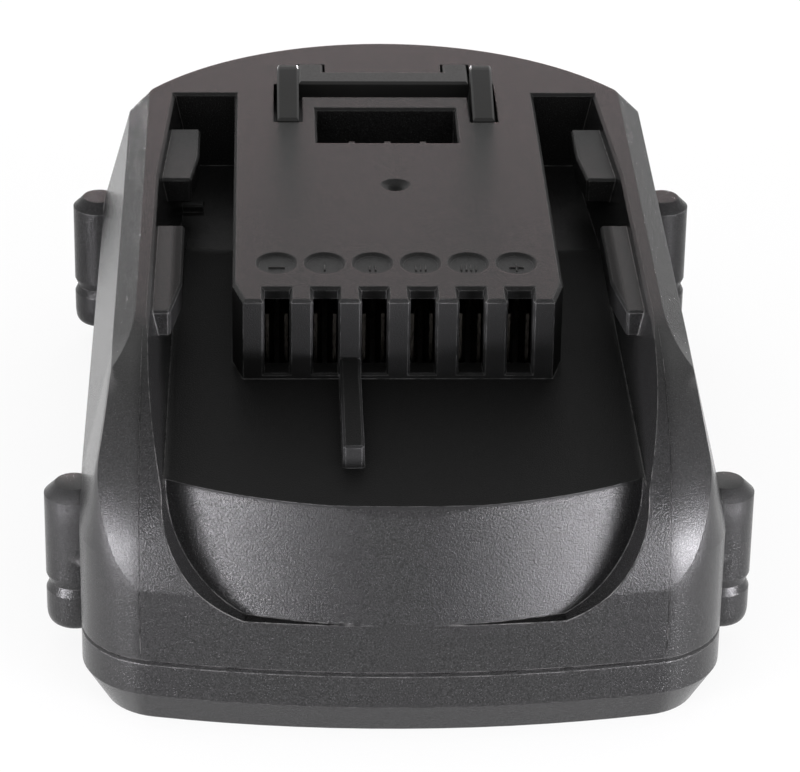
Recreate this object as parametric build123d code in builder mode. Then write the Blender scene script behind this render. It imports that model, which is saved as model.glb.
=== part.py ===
from build123d import *
from math import sqrt
import os

os.makedirs("parts", exist_ok=True)

# Slide-on battery pack for a cordless tool. X runs across the pack, Y along it from the end that
# meets the tool (-Y) to the release button (+Y), and Z up from the flat base. Millimetres.

# Housing outline, seen from above
body_width = 76.3
body_length = 125.0
front_bow_radius = 150.0
rear_bow_radius = 60.0
front_corner_radius = 10.0
rear_corner_radius = 12.0
front_taper = 0.6
taper_start_setback = 32.5
taper_bend_share = 0.25

# Deck outline, which is narrower than the body and rounder at the rear
deck_width = 68.4
deck_rear_inset = 6.6
deck_bow_radius = 38.7
deck_front_corner = 7.0
deck_rear_corner = 3.0
shoulder_width = 2.6
shoulder_rear_width = 0.7
shoulder_drop = 1.6

# Heights above the base
joint_height = 8.9
band_height = 4.5
widest_height = 21.7
deck_height = 39.8
tray_height = 29.2

# Walls
base_inset = 2.6
base_thickness = 2.0
wall = 2.2
lip_thickness = 0.9
lip_height = 1.5
lip_clearance = 0.1
joint_chamfer = 0.3
deck_thickness = 2.4
tray_thickness = 2.2
overrun = 5.0

# Rounded noses of the two arms: they lean back from their foot, then roll into the deck
nose_length = 30.0
nose_foot_height = 18.4
nose_lean = 2.0
nose_lean_rise = 11.6
nose_roll = 23.0

# Tray between the arms, and the bright scoop in front of it
arm_inner_front = 30.2
arm_inner_mid = 29.8
arm_inner_rear = 28.2
arm_taper_start_setback = 52.5
arm_draft = 2.2
rim_bevel = 0.35
channel_end_setback = 25.2
scoop_radius = 57.0
scoop_centre_setback = 60.2
scoop_slope_share = 0.237
scoop_lip_height = 15.5
scoop_mouth_half = 28.9
scoop_mouth_knee = 28.9
scoop_mouth_bottom_half = 19.0
scoop_root_half = 27.6
scoop_root_knee = 28.9
scoop_root_bottom_half = 18.0
scoop_root_setback = 11.0
scoop_bulge_share = 0.74
scoop_rise_share = 0.41

# Steps of the hollow behind the scoop, from the joint up
hollow_lip_gap = 0.6
hollow_step_height = 19.5
hollow_mid_front_setback = 8
hollow_top_front_setback = 11.3

# Terminal block and its slots
block_width = 40.2
block_front_setback = 89.25
block_corner_across = 1.3
block_corner_along = 4.8
block_wall = 2.3
block_front_wall = 3.0
block_plate = 1.5
slot_count = 6
slot_pitch = 5.88
slot_width = 3.06
slot_sill = 0.7
slot_notch = 3.5
slot_reach = 7.0
block_bevel = 0.4
slot_bevel = 0.25
plate_bevel = 0.4

# Marks moulded in the deck
disc_width = 5.2
disc_length = 6.3
disc_depth = 0.35
disc_rim = 0.45
disc_setback = 10.5
dimple_diameter = 3.9
dimple_depth = 0.9
dimple_offset = 0.6
dimple_setback = 55.3

# Key rib on the tray floor
key_width = 2.5
key_height = 2.9
key_bevel = 0.3
key_centre = -5.85
key_front_setback = 12.8

# Rail tabs along both arms
tab_top = 38.35
tab_thickness = 3.4
tab_root = 31.2
tab_bevel = 0.3
rear_tab_inner = 24.65
rear_tab_tip = 25.6
rear_tab_start_setback = 50.2
rear_tab_bevel_setback = 42.6
rear_tab_end_setback = 33.8
front_tab_inner = 26.2
front_tab_tip = 27.55
front_tab_start_setback = 89.3
front_tab_bevel_setback = 81
front_tab_end_setback = 64.45
cross_rib_width = 1.4
cross_rib_height = 1.0
cross_rib_bevel = 0.2
cross_rib_inner = 24.2
cross_rib_outer = 28.5
cross_rib_setback = 39.8

# Recess behind the dimple
window_width = 18.4
window_front_setback = 41.6
window_rear_setback = 30.3
window_depth = 5.2
window_wall = 1.5
window_bevel = 0.35
window_rib_count = 3
window_rib_pitch = 4.7
window_rib_width = 0.8
window_rib_length = 1.6
window_rib_sink = 0.6

# Side screw bosses
boss_spacing = 77.92
boss_front_setback = 23
boss_rear_setback = 19.42
boss_radius = 3.54
boss_height = 13.15
boss_chamfer = 1.35
boss_neck_radius = 3.1
boss_neck_height = 1.1
lower_boss_depth = 5.6
lower_boss_shoulder = 1.0
lower_boss_round = 2.6
lower_boss_foot_radius = 2.3

# Housing screws, and the recess in every screw's head
screw_radius = 1.2
screw_length = 10.5
screw_head_radius = 1.7
screw_head_height = 1.5
screw_seat_height = 6.3
screw_clearance = 0.05
screw_head_clearance = 0.15
pilot_extra = 0.6
drive_share = 0.55
drive_depth_share = 0.6

# Latch, and its slots in the deck
arm_slot_inner = 11.1
arm_slot_outer = 14.9
arm_slot_front_setback = 35
arm_slot_rear_setback = 21.8
bar_slot_half = 11.85
bar_slot_front_setback = 26.5
bar_slot_middle_setback = 17.8
bar_slot_rear_setback = 14.9
pad_slot_inner = 7.9
hook_width = 2.9
hook_centre = 13.0
hook_front_setback = 34.3
hook_rear_setback = 22.3
hook_flat = 1.4
hook_toe_rise = 0.15
hook_rise = 2.95
bar_half = 11.5
bar_front_setback = 21.9
bar_middle_rear_setback = 18.1
bar_rear_setback = 15.3
bar_rise = 0.3
pad_inner = 8.2
latch_base_drop = 5.3
latch_stop_clearance = 0.05
rail_width = 4.2
rail_front_setback = 31.3
rail_rear_setback = 20.5
bridge_half = 12.0
bridge_front_setback = 23.7
stem_half = 8.0
stem_front_setback = 18.5
stem_rear_setback = 15.7
stem_foot_drop = 0.2
wedge_margin = 0.1
wedge_blunt = 0.4
wedge_clearance = 0.2
latch_travel = 3.5
latch_bevel = 0.3

# Release button in the rear wall
button_width = 28.0
button_foot_rise = 3.7
button_drop = 2.1
button_gap = 0.3
button_sink = 0.5
button_round = 1.2
button_bevel = 0.3
flange_overlap = 2.0
flange_thickness = 1.6
flange_clearance = 0.25
nub_half = 7.0
nub_rise = 3.6
nub_height = 4.0
nub_contact = 1.6
nub_root = 0.8

# Plate that holds the latch up, with its posts, screws and springs
retainer_half_width = 17.2
retainer_front_setback = 38.9
retainer_rear_setback = 15
retainer_thickness = 1.5
retainer_top = 27.5
stem_guide_gap = 0.25
retainer_post_radius = 1.9
front_post_x = 16.0
front_post_y_setback = 36.9
rear_post_x = 14.8
rear_post_y_setback = 17.3
retainer_screw_radius = 0.9
retainer_screw_length = 6.0
retainer_head_radius = 1.6
retainer_head_height = 1.1
spring_x = 13.0
spring_y_setback = 28.9
spring_radius = 1.8
spring_wire_radius = 0.25
spring_turns = 4
spring_pin_radius = 1.3
spring_pin_height = 1.8
spring_clearance = 0.05

# Cells, laid across the pack
cell_diameter = 18.3
cell_length = 65.0
cell_gap = 0.5
cell_row_front_setback = 10.5
cell_row_rear_room = 20.5
cell_groove_place = 2.6
cell_groove_width = 1.2
cell_groove_depth = 0.35

# Frames around the ends of the cells
frame_inner = 26.4
frame_wall = 1.2
frame_clearance = 0.1
frame_post_radius = 2.2
frame_post_top = 24.2
frame_post_x = 28.9
frame_post_front_setback = 80.5
frame_post_rear_setback = 45.1

# Link strips welded to the cells
strip_thickness = 0.2
strip_height = 6.6
strip_overhang = 4.0
tail_width = 4.0
tail_reach = 2.0
tail_inset = 2.5
crossover_height = 3.6
crossover_top = 22.5

# Insulating sheets outside the strips
sheet_thickness = 0.4
sheet_margin = 0.9

# Circuit board
board_length = 47.5
board_width = 62.6
board_thickness = 1.6
board_front_setback = 86.5
board_corner = 1.5
board_screw_radius = 1.0
board_screw_length = 4.5
board_screw_head_radius = 1.8
board_screw_head_height = 0.9

# Terminal carrier and its six spring contacts
carrier_half_width = 17.4
carrier_front_setback = 85.7
carrier_rear_setback = 71.1
carrier_floor = 1.0
carrier_top = 36.6
carrier_rib = 2.2
carrier_back = 1.6
contact_thickness = 0.4
contact_half_gap = 0.95
contact_pinch = 0.3
contact_pinch_share = 0.28
contact_front_setback = 84.9
contact_back_setback = 73.4
contact_top = 35.9
contact_pin_half = 0.5
contact_pin_clearance = 0.05

# Parts on the board and on the cells
chip_width = 7.0
chip_height = 1.4
chip_x = -8.0
chip_y_setback = 49
transistor_width = 6.4
transistor_length = 8.6
transistor_height = 2.3
transistor_tab = 1.4
transistor_tab_thickness = 0.6
transistor_pitch = 10.0
transistor_y_setback = 63.3
fuse_width = 6.2
fuse_length = 3.2
fuse_height = 2.0
fuse_x = 8.0
fuse_y_setback = 49
part_round = 0.3
bead_radius = 1.3
bead_gap = 0.05
bead_lead_radius = 0.3
bead_lead_half_spacing = 0.6
bead_x = 23.5
pad_width = 40.0
pad_length = 40.0
pad_centre_setback = 63.5
pad_clearance = 0.15
pad_round = 2.0

# Values that follow from the ones above
half_width = body_width / 2
front_end = -body_length / 2
rear_end = body_length / 2
deck_half = deck_width / 2
shoulder_height = deck_height - shoulder_drop
deck_rear = rear_end - deck_rear_inset

# Places along the pack, from its two ends
channel_end = rear_end - channel_end_setback
rear_tab_start = rear_end - rear_tab_start_setback
rear_tab_bevel = rear_end - rear_tab_bevel_setback
rear_tab_end = rear_end - rear_tab_end_setback
front_tab_start = rear_end - front_tab_start_setback
front_tab_bevel = rear_end - front_tab_bevel_setback
front_tab_end = rear_end - front_tab_end_setback
cross_rib_place = rear_end - cross_rib_setback
window_front = rear_end - window_front_setback
window_rear = rear_end - window_rear_setback
boss_rear = rear_end - boss_rear_setback
arm_slot_front = rear_end - arm_slot_front_setback
arm_slot_rear = rear_end - arm_slot_rear_setback
bar_slot_front = rear_end - bar_slot_front_setback
bar_slot_middle = rear_end - bar_slot_middle_setback
bar_slot_rear = rear_end - bar_slot_rear_setback
hook_front = rear_end - hook_front_setback
hook_rear = rear_end - hook_rear_setback
bar_front = rear_end - bar_front_setback
bar_middle_rear = rear_end - bar_middle_rear_setback
bar_rear = rear_end - bar_rear_setback
rail_front = rear_end - rail_front_setback
rail_rear = rear_end - rail_rear_setback
bridge_front = rear_end - bridge_front_setback
stem_front = rear_end - stem_front_setback
stem_rear = rear_end - stem_rear_setback
retainer_front = rear_end - retainer_front_setback
retainer_rear = rear_end - retainer_rear_setback
front_post_y = rear_end - front_post_y_setback
rear_post_y = rear_end - rear_post_y_setback
spring_y = rear_end - spring_y_setback
block_front = rear_end - block_front_setback
dimple_place = rear_end - dimple_setback
board_front = rear_end - board_front_setback
carrier_front = rear_end - carrier_front_setback
carrier_rear = rear_end - carrier_rear_setback
contact_front = rear_end - contact_front_setback
contact_back = rear_end - contact_back_setback
frame_post_front = rear_end - frame_post_front_setback
frame_post_rear = rear_end - frame_post_rear_setback
chip_y = rear_end - chip_y_setback
transistor_y = rear_end - transistor_y_setback
fuse_y = rear_end - fuse_y_setback
pad_centre = rear_end - pad_centre_setback
arm_taper_start = rear_end - arm_taper_start_setback
boss_front = front_end + boss_front_setback
key_front = front_end + key_front_setback
scoop_centre = front_end + scoop_centre_setback
hollow_mid_front = front_end + hollow_mid_front_setback
hollow_top_front = front_end + hollow_top_front_setback
taper_start = front_end + taper_start_setback
cell_row_front = front_end + cell_row_front_setback

# More values that follow
cavity_roof = tray_height - tray_thickness
deck_underside = deck_height - deck_thickness
block_half = block_width / 2
bow_centre = rear_end - rear_bow_radius
boss_x = boss_spacing / 2
boss_places = [(x, y) for y in (boss_front, boss_rear) for x in (-boss_x, boss_x)]
slot_places = [(index - (slot_count - 1) / 2) * slot_pitch for index in range(slot_count)]
latch_top = deck_underside - latch_stop_clearance
latch_base_height = deck_height - latch_base_drop
hook_toe_height = deck_height + hook_toe_rise
hook_top_height = hook_toe_height + hook_rise
bar_top_height = deck_height + bar_rise
wedge_reach = latch_travel + nub_contact + wedge_margin
retainer_base = retainer_top - retainer_thickness
retainer_places = [(side * x, y) for x, y in ((front_post_x, front_post_y), (rear_post_x, rear_post_y))
                   for side in (-1, 1)]
button_top = widest_height - button_drop
button_bottom = joint_height + button_foot_rise
nub_base_height = button_bottom + nub_rise
stem_foot_height = nub_base_height - stem_foot_drop
nub_face = stem_rear + wedge_reach + stem_foot_height - nub_base_height + wedge_clearance
cell_radius = cell_diameter / 2
cell_pitch = cell_diameter + cell_gap
cell_row_length = body_length - cell_row_front_setback - cell_row_rear_room
cell_count = int((cell_row_length + cell_gap) / cell_pitch)
cell_end = cell_length / 2
cell_places = [cell_row_front + cell_radius + index * cell_pitch for index in range(cell_count)]
frame_radius = cell_radius + frame_wall
cell_axis_height = base_thickness + frame_radius
post_places = [(side * frame_post_x, y) for side in (-1, 1) for y in (frame_post_front, frame_post_rear)]
strip_face = cell_end + strip_thickness
board_base = frame_post_top
board_top = board_base + board_thickness
board_rear = board_front + board_length
crossover_rear = board_front + tail_inset + tail_width / 2


def draw_outline(sketch, half, front, rear, front_radius, rear_radius, front_corner, rear_corner, inset=0):
    """Closed outline: bowed front and rear ends, straight sides and four rounded corners."""
    side = half - inset
    nose_side = side - front_taper
    front_bow = front_radius - inset
    rear_bow = rear_radius - inset
    front_y = front + inset
    rear_y = rear - inset
    front_side = front_y + front_bow - sqrt(front_bow**2 - nose_side**2)
    rear_side = rear_y - rear_bow + sqrt(rear_bow**2 - side**2)
    bend_x = side - front_taper * taper_bend_share
    bend_y = (taper_start + front_side) / 2
    with BuildLine() as outline:
        ThreePointArc((-nose_side, front_side), (0, front_y), (nose_side, front_side))
        ThreePointArc((nose_side, front_side), (bend_x, bend_y), (side, taper_start))
        Line((side, taper_start), (side, rear_side))
        ThreePointArc((side, rear_side), (0, rear_y), (-side, rear_side))
        Line((-side, rear_side), (-side, taper_start))
        ThreePointArc((-side, taper_start), (-bend_x, bend_y), (-nose_side, front_side))
    make_face(outline.line)
    fillet(sketch.vertices().group_by(Axis.Y)[0], front_corner - inset)
    fillet(sketch.vertices().group_by(Axis.Y)[-1], rear_corner - inset)


def draw_body_outline(sketch, inset=0):
    """The housing's outline at and below its widest height."""
    draw_outline(sketch, half_width, front_end, rear_end, front_bow_radius, rear_bow_radius,
                 front_corner_radius, rear_corner_radius, inset)


def draw_shoulder_outline(sketch, inset=0):
    """The outline at the shoulder, where the side walls have leaned in."""
    draw_outline(sketch, deck_half, front_end, deck_rear, front_bow_radius, deck_bow_radius,
                 deck_front_corner, deck_rear_corner, inset)


def draw_deck_outline(sketch):
    """The outline of the flat top, inside the sloping shoulder."""
    draw_outline(sketch, deck_half - shoulder_width, front_end, deck_rear - shoulder_rear_width,
                 front_bow_radius, deck_bow_radius - shoulder_rear_width, deck_front_corner, deck_rear_corner)


def draw_mouth(half, knee, bottom_half):
    """The scoop's opening seen from the front: sloping sides, rounded lower corners, flat lip."""
    top = deck_height + overrun
    top_half = half + (arm_inner_front - scoop_mouth_half) * (top - knee) / (deck_height - knee)
    bend_x = bottom_half + scoop_bulge_share * (half - bottom_half)
    bend_z = scoop_lip_height + scoop_rise_share * (knee - scoop_lip_height)
    with BuildLine() as outline:
        Line((-top_half, top), (-half, knee))
        ThreePointArc((-half, knee), (-bend_x, bend_z), (-bottom_half, scoop_lip_height))
        Line((-bottom_half, scoop_lip_height), (bottom_half, scoop_lip_height))
        ThreePointArc((bottom_half, scoop_lip_height), (bend_x, bend_z), (half, knee))
        Line((half, knee), (top_half, top))
        Line((top_half, top), (-top_half, top))
    make_face(outline.line)


def draw_tray(narrowing, lengthening=0):
    """The tray seen from above: straight arms that close in towards the rear of the channels."""
    front_half = arm_inner_front - narrowing
    mid_half = arm_inner_mid - narrowing
    rear_half = arm_inner_rear - narrowing
    front = front_end - overrun
    rear = channel_end + lengthening
    with BuildLine() as outline:
        Polyline((-front_half, front), (front_half, front), (mid_half, 0), (mid_half, arm_taper_start),
                 (rear_half, rear), (-rear_half, rear), (-mid_half, arm_taper_start),
                 (-mid_half, 0), close=True)
    make_face(outline.line)


def make_flare(width, length, bevel, beyond):
    """A rectangular mouth that widens by the bevel up to height zero, then goes on beyond it."""
    with BuildPart() as flare:
        with BuildSketch(Plane.XY.offset(-bevel)):
            Rectangle(width, length)
        with BuildSketch(Plane.XY):
            Rectangle(width + bevel * 2, length + bevel * 2)
        loft(ruled=True)
        with BuildSketch(Plane.XY):
            Rectangle(width + bevel * 2, length + bevel * 2)
        extrude(amount=beyond)
    return flare.part


# Upper screw boss: neck, straight post and chamfered top
with BuildPart() as upper_boss:
    with BuildSketch(Plane.XZ):
        with BuildLine():
            Polyline((0, 0), (boss_neck_radius, 0),
                     (boss_radius, boss_neck_height), (boss_radius, boss_height - boss_chamfer),
                     (boss_radius - boss_chamfer, boss_height), (0, boss_height), close=True)
        make_face()
    revolve(axis=Axis.Z)

# Lower screw boss: neck, bulge and rounded foot, hanging below the joint line
with BuildPart() as lower_boss:
    with BuildSketch(Plane.XZ):
        with BuildLine():
            Line((0, 0), (boss_neck_radius, 0))
            Line((boss_neck_radius, 0), (boss_radius, -lower_boss_shoulder))
            Line((boss_radius, -lower_boss_shoulder), (boss_radius, -lower_boss_depth + lower_boss_round))
            Spline((boss_radius, -lower_boss_depth + lower_boss_round),
                   (lower_boss_foot_radius, -lower_boss_depth), tangents=((0, -1), (-1, 0)))
            Line((lower_boss_foot_radius, -lower_boss_depth), (0, -lower_boss_depth))
            Line((0, -lower_boss_depth), (0, 0))
        make_face()
    revolve(axis=Axis.Z)

# Terminal block: long bevels on its two front corners, slots that are open at the top for the notch
# and run on under the thin plate, and bevels round the mouths
slot_height = deck_height - block_plate - tray_height - slot_sill
with BuildPart() as block_form:
    with BuildSketch(Plane.XY.offset(tray_height - tray_thickness)):
        with BuildLine():
            Polyline((-block_half, channel_end + overrun), (-block_half, block_front + block_corner_along),
                     (-block_half + block_corner_across, block_front),
                     (block_half - block_corner_across, block_front),
                     (block_half, block_front + block_corner_along), (block_half, channel_end + overrun),
                     close=True)
        make_face()
    extrude(amount=deck_height - tray_height + tray_thickness)
    chamfer(block_form.edges().group_by(Axis.Z)[-1], block_bevel)
    with BuildSketch(Plane.XY.offset(tray_height + slot_sill)):
        with Locations(*[(x, block_front - overrun) for x in slot_places]):
            Rectangle(slot_width, slot_reach + overrun, align=(Align.CENTER, Align.MIN))
    extrude(amount=slot_height, mode=Mode.SUBTRACT)
    with BuildSketch(Plane.XY.offset(tray_height + slot_sill)):
        with Locations(*[(x, block_front - overrun) for x in slot_places]):
            Rectangle(slot_width, slot_notch + overrun, align=(Align.CENTER, Align.MIN))
    extrude(amount=deck_height, mode=Mode.SUBTRACT)
    mouth_height = deck_height - tray_height - slot_sill + overrun
    slot_mouth = make_flare(slot_width, mouth_height, slot_bevel, overrun).rotate(Axis.X, 90)
    with Locations(*[(x, block_front, tray_height + slot_sill + mouth_height / 2) for x in slot_places]):
        add(slot_mouth, mode=Mode.SUBTRACT)
    notch_length = slot_notch + overrun
    notch_mouth = make_flare(slot_width, notch_length, plate_bevel, overrun)
    with Locations(*[(x, block_front + slot_notch - notch_length / 2, deck_height) for x in slot_places]):
        add(notch_mouth, mode=Mode.SUBTRACT)

# Space above the tray floor, with the terminal block left standing in it
with BuildPart() as tray_space:
    with BuildSketch(Plane.XY.offset(tray_height)):
        draw_tray(arm_draft)
    with BuildSketch(Plane.XY.offset(deck_height)):
        draw_tray(0)
    loft(ruled=True)
    # Bevelled rim of the arms and of the channels' ends
    with BuildSketch(Plane.XY.offset(deck_height - rim_bevel)):
        draw_tray(arm_draft * rim_bevel / (deck_height - tray_height))
    with BuildSketch(Plane.XY.offset(deck_height)):
        draw_tray(-rim_bevel, rim_bevel)
    loft(ruled=True)
    add(block_form.part, mode=Mode.SUBTRACT)

# Space in front of the scoop: the flared mouth, less the cone that the scoop's surface follows
with BuildPart() as scoop_space:
    with BuildSketch(Plane.XZ.offset(-front_end + overrun)):
        draw_mouth(scoop_mouth_half, scoop_mouth_knee, scoop_mouth_bottom_half)
    with BuildSketch(Plane.XZ.offset(-front_end - scoop_root_setback)):
        draw_mouth(scoop_root_half, scoop_root_knee, scoop_root_bottom_half)
    loft(ruled=True)
    with BuildSketch(Plane.XZ.offset(-scoop_centre)):
        with BuildLine():
            Polyline((0, 0), (scoop_radius + scoop_slope_share * tray_height, 0), (scoop_radius, tray_height),
                     (0, tray_height), close=True)
        make_face()
    revolve(axis=Axis((0, scoop_centre, 0), (0, 0, 1)), mode=Mode.SUBTRACT)
    split(bisect_by=Plane.XY.offset(tray_height + overrun), keep=Keep.BOTTOM)

# Hollow of the upper housing: stepped behind the scoop, leaning with the walls above their widest
with BuildPart() as upper_hollow:
    with BuildSketch(Plane.XY.offset(joint_height - overrun)) as hollow_foot:
        draw_body_outline(hollow_foot, wall)
    extrude(amount=widest_height - joint_height + overrun)
    with BuildSketch(Plane.XY.offset(widest_height)) as hollow_waist:
        draw_body_outline(hollow_waist, wall)
    with BuildSketch(Plane.XY.offset(shoulder_height)) as hollow_top:
        draw_shoulder_outline(hollow_top, wall)
    loft(ruled=True)
    split(bisect_by=Plane.XY.offset(deck_underside), keep=Keep.BOTTOM)
    # Only the rear, behind the channels, and the inside of the block reach up to the deck
    with BuildSketch(Plane.XY.offset(cavity_roof)):
        with Locations((0, channel_end + wall)):
            Rectangle(body_width * 2, body_length * 2, align=(Align.CENTER, Align.MAX))
    extrude(amount=deck_height, mode=Mode.SUBTRACT)
    with BuildSketch(Plane.XY.offset(scoop_lip_height - hollow_lip_gap)):
        with Locations((0, hollow_mid_front)):
            Rectangle(body_width * 2, body_length, align=(Align.CENTER, Align.MAX))
    extrude(amount=deck_height, mode=Mode.SUBTRACT)
    with BuildSketch(Plane.XY.offset(hollow_step_height)):
        with Locations((0, hollow_top_front)):
            Rectangle(body_width * 2, body_length, align=(Align.CENTER, Align.MAX))
    extrude(amount=deck_height, mode=Mode.SUBTRACT)
    with BuildSketch(Plane.XY.offset(cavity_roof - wall)):
        with Locations((0, block_front + block_front_wall)):
            Rectangle((block_half - block_wall) * 2, channel_end + wall * 2 - block_front - block_front_wall,
                      align=(Align.CENTER, Align.MIN))
    extrude(amount=deck_underside - cavity_roof + wall)

# Latch opening in the deck: two arm slots, the bar's slot and its two pad slots
with BuildPart() as latch_opening:
    with BuildSketch(Plane.XY.offset(latch_base_height)):
        for side in (-1, 1):
            with Locations((side * (arm_slot_inner + arm_slot_outer) / 2, arm_slot_front)):
                Rectangle(arm_slot_outer - arm_slot_inner, arm_slot_rear - arm_slot_front,
                          align=(Align.CENTER, Align.MIN))
            with Locations((side * (pad_slot_inner + bar_slot_half) / 2, bar_slot_front)):
                Rectangle(bar_slot_half - pad_slot_inner, bar_slot_rear - bar_slot_front,
                          align=(Align.CENTER, Align.MIN))
        with Locations((0, (bar_slot_front + bar_slot_middle) / 2)):
            Rectangle(bar_slot_half * 2, bar_slot_middle - bar_slot_front)
    extrude(amount=deck_height - latch_base_height + overrun)

# Rail tabs of one arm, seen from above, at the tabs' own height
with BuildPart() as right_tabs:
    with BuildSketch(Plane.XY.offset(tab_top - tab_thickness)):
        with BuildLine():
            Polyline((tab_root, rear_tab_start), (rear_tab_tip, rear_tab_start),
                     (rear_tab_inner, rear_tab_bevel), (rear_tab_inner, rear_tab_end),
                     (tab_root, rear_tab_end), close=True)
        make_face()
        with BuildLine():
            Polyline((tab_root, front_tab_start), (front_tab_tip, front_tab_start),
                     (front_tab_inner, front_tab_bevel), (front_tab_inner, front_tab_end),
                     (tab_root, front_tab_end), close=True)
        make_face()
    extrude(amount=tab_thickness)
    chamfer(right_tabs.edges(), tab_bevel)

# Ribs on the tray floor: the key rib in front of the block and the cross rib in the left channel
with BuildPart() as key_rib:
    with BuildSketch(Plane.XY.offset(tray_height)):
        with Locations((key_centre, key_front)):
            Rectangle(key_width, block_front - key_front, align=(Align.CENTER, Align.MIN))
    extrude(amount=key_height)
    chamfer(key_rib.edges().group_by(Axis.Z)[-1], key_bevel)
    chamfer(key_rib.edges().filter_by(Axis.Z).group_by(Axis.Y)[0], key_bevel)

with BuildPart() as cross_rib:
    with BuildSketch(Plane.XY.offset(tray_height)):
        with Locations((-(cross_rib_inner + cross_rib_outer) / 2, cross_rib_place)):
            Rectangle(cross_rib_outer - cross_rib_inner, cross_rib_width)
    extrude(amount=cross_rib_height)
    chamfer(cross_rib.edges().group_by(Axis.Z)[-1], cross_rib_bevel)

# Upper housing
with BuildPart() as upper_housing:
    with BuildSketch(Plane.XY.offset(joint_height)) as joint_face:
        draw_body_outline(joint_face, joint_chamfer)
    with BuildSketch(Plane.XY.offset(joint_height + joint_chamfer)) as joint_edge:
        draw_body_outline(joint_edge)
    loft(ruled=True)
    with BuildSketch(Plane.XY.offset(joint_height + joint_chamfer)) as wall_foot:
        draw_body_outline(wall_foot)
    extrude(amount=widest_height - joint_height - joint_chamfer)
    with BuildSketch(Plane.XY.offset(widest_height)) as widest_face:
        draw_body_outline(widest_face)
    with BuildSketch(Plane.XY.offset(shoulder_height)) as shoulder_face:
        draw_shoulder_outline(shoulder_face)
    loft(ruled=True)
    with BuildSketch(Plane.XY.offset(shoulder_height)) as shoulder_foot:
        draw_shoulder_outline(shoulder_foot)
    with BuildSketch(Plane.XY.offset(deck_height)) as deck_face:
        draw_deck_outline(deck_face)
    loft(ruled=True)
    # The rounded noses follow the bow of the front wall, so they are turned about the bow's centre
    with BuildSketch(Plane.YZ):
        with BuildLine():
            Line((front_end + front_bow_radius, 0), (front_end, 0))
            Line((front_end, 0), (front_end, nose_foot_height))
            Bezier((front_end, nose_foot_height),
                   (front_end + nose_lean, nose_foot_height + nose_lean_rise),
                   (front_end + nose_length - nose_roll, deck_height),
                   (front_end + nose_length, deck_height))
            Line((front_end + nose_length, deck_height), (front_end + front_bow_radius, deck_height))
            Line((front_end + front_bow_radius, deck_height), (front_end + front_bow_radius, 0))
        make_face()
    revolve(axis=Axis((0, front_end + front_bow_radius, 0), (0, 0, 1)), mode=Mode.INTERSECT)
    with Locations(*[(x, y, joint_height) for x, y in boss_places]):
        add(upper_boss.part)
    add(tray_space.part, mode=Mode.SUBTRACT)
    add(scoop_space.part, mode=Mode.SUBTRACT)
    add(right_tabs.part)
    mirror(right_tabs.part, about=Plane.YZ)
    add(upper_hollow.part, mode=Mode.SUBTRACT)
    add(key_rib.part)
    add(cross_rib.part)
    # Walls of the recess hang under the deck, and so do the posts for the retainer
    with BuildSketch(Plane.XY.offset(deck_underside)):
        with Locations((0, (window_front + window_rear) / 2)):
            Rectangle(window_width + window_wall * 2, window_rear - window_front + window_wall * 2)
    extrude(amount=-(window_depth + window_wall - deck_thickness))
    with BuildSketch(Plane.XY.offset(retainer_top)):
        with Locations(*retainer_places):
            Circle(retainer_post_radius)
    extrude(amount=deck_underside - retainer_top)
    with BuildSketch(Plane.XY.offset(deck_height - window_depth)):
        with Locations((0, (window_front + window_rear) / 2)):
            Rectangle(window_width, window_rear - window_front)
    extrude(amount=window_depth, mode=Mode.SUBTRACT)
    with Locations((0, (window_front + window_rear) / 2, deck_height)):
        add(make_flare(window_width, window_rear - window_front, window_bevel, overrun), mode=Mode.SUBTRACT)
    with BuildSketch(Plane.XY.offset(deck_height - window_depth)):
        with Locations((0, window_front)):
            with GridLocations(window_rib_pitch, 0, window_rib_count, 1):
                Rectangle(window_rib_width, window_rib_length, align=(Align.CENTER, Align.MIN))
    extrude(amount=window_depth - window_rib_sink)
    add(latch_opening.part, mode=Mode.SUBTRACT)
    # The slots run through the block's front wall into its hollow
    with BuildSketch(Plane.XY.offset(tray_height + slot_sill)):
        with Locations(*[(x, block_front + block_bevel) for x in slot_places]):
            Rectangle(slot_width, slot_reach - block_bevel, align=(Align.CENTER, Align.MIN))
    extrude(amount=slot_height, mode=Mode.SUBTRACT)
    # Marks in the deck: six shallow dished discs and one cone
    for place in slot_places:
        with BuildSketch(Plane.XY.offset(deck_height - disc_depth)):
            with Locations((place, block_front + disc_setback)):
                Ellipse(disc_width / 2 - disc_rim, disc_length / 2 - disc_rim)
        with BuildSketch(Plane.XY.offset(deck_height)):
            with Locations((place, block_front + disc_setback)):
                Ellipse(disc_width / 2, disc_length / 2)
        loft(ruled=True, mode=Mode.SUBTRACT)
    with Locations((dimple_offset, dimple_place, deck_height - dimple_depth)):
        Cone(0, dimple_diameter / 2, dimple_depth, align=(Align.CENTER, Align.CENTER, Align.MIN),
             mode=Mode.SUBTRACT)
    # Opening for the release button
    with BuildSketch(Plane.XZ.offset(-rear_end - overrun)):
        with Locations((0, (button_bottom + button_top) / 2)):
            RectangleRounded(button_width, button_top - button_bottom, button_round)
    extrude(amount=overrun * 2 + wall, mode=Mode.SUBTRACT)
    # Pilot holes for the housing screws and the retainer screws
    with BuildSketch(Plane.XY.offset(joint_height)):
        with Locations(*boss_places):
            Circle(screw_radius + screw_clearance)
    extrude(amount=screw_seat_height + screw_length + pilot_extra - joint_height, mode=Mode.SUBTRACT)
    with BuildSketch(Plane.XY.offset(retainer_top)):
        with Locations(*retainer_places):
            Circle(retainer_screw_radius + screw_clearance)
    extrude(amount=retainer_base + retainer_screw_length + pilot_extra - retainer_top, mode=Mode.SUBTRACT)
upper_housing.part.label = "upper_housing"
export_step(upper_housing.part, "parts/upper_housing.step")

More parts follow.
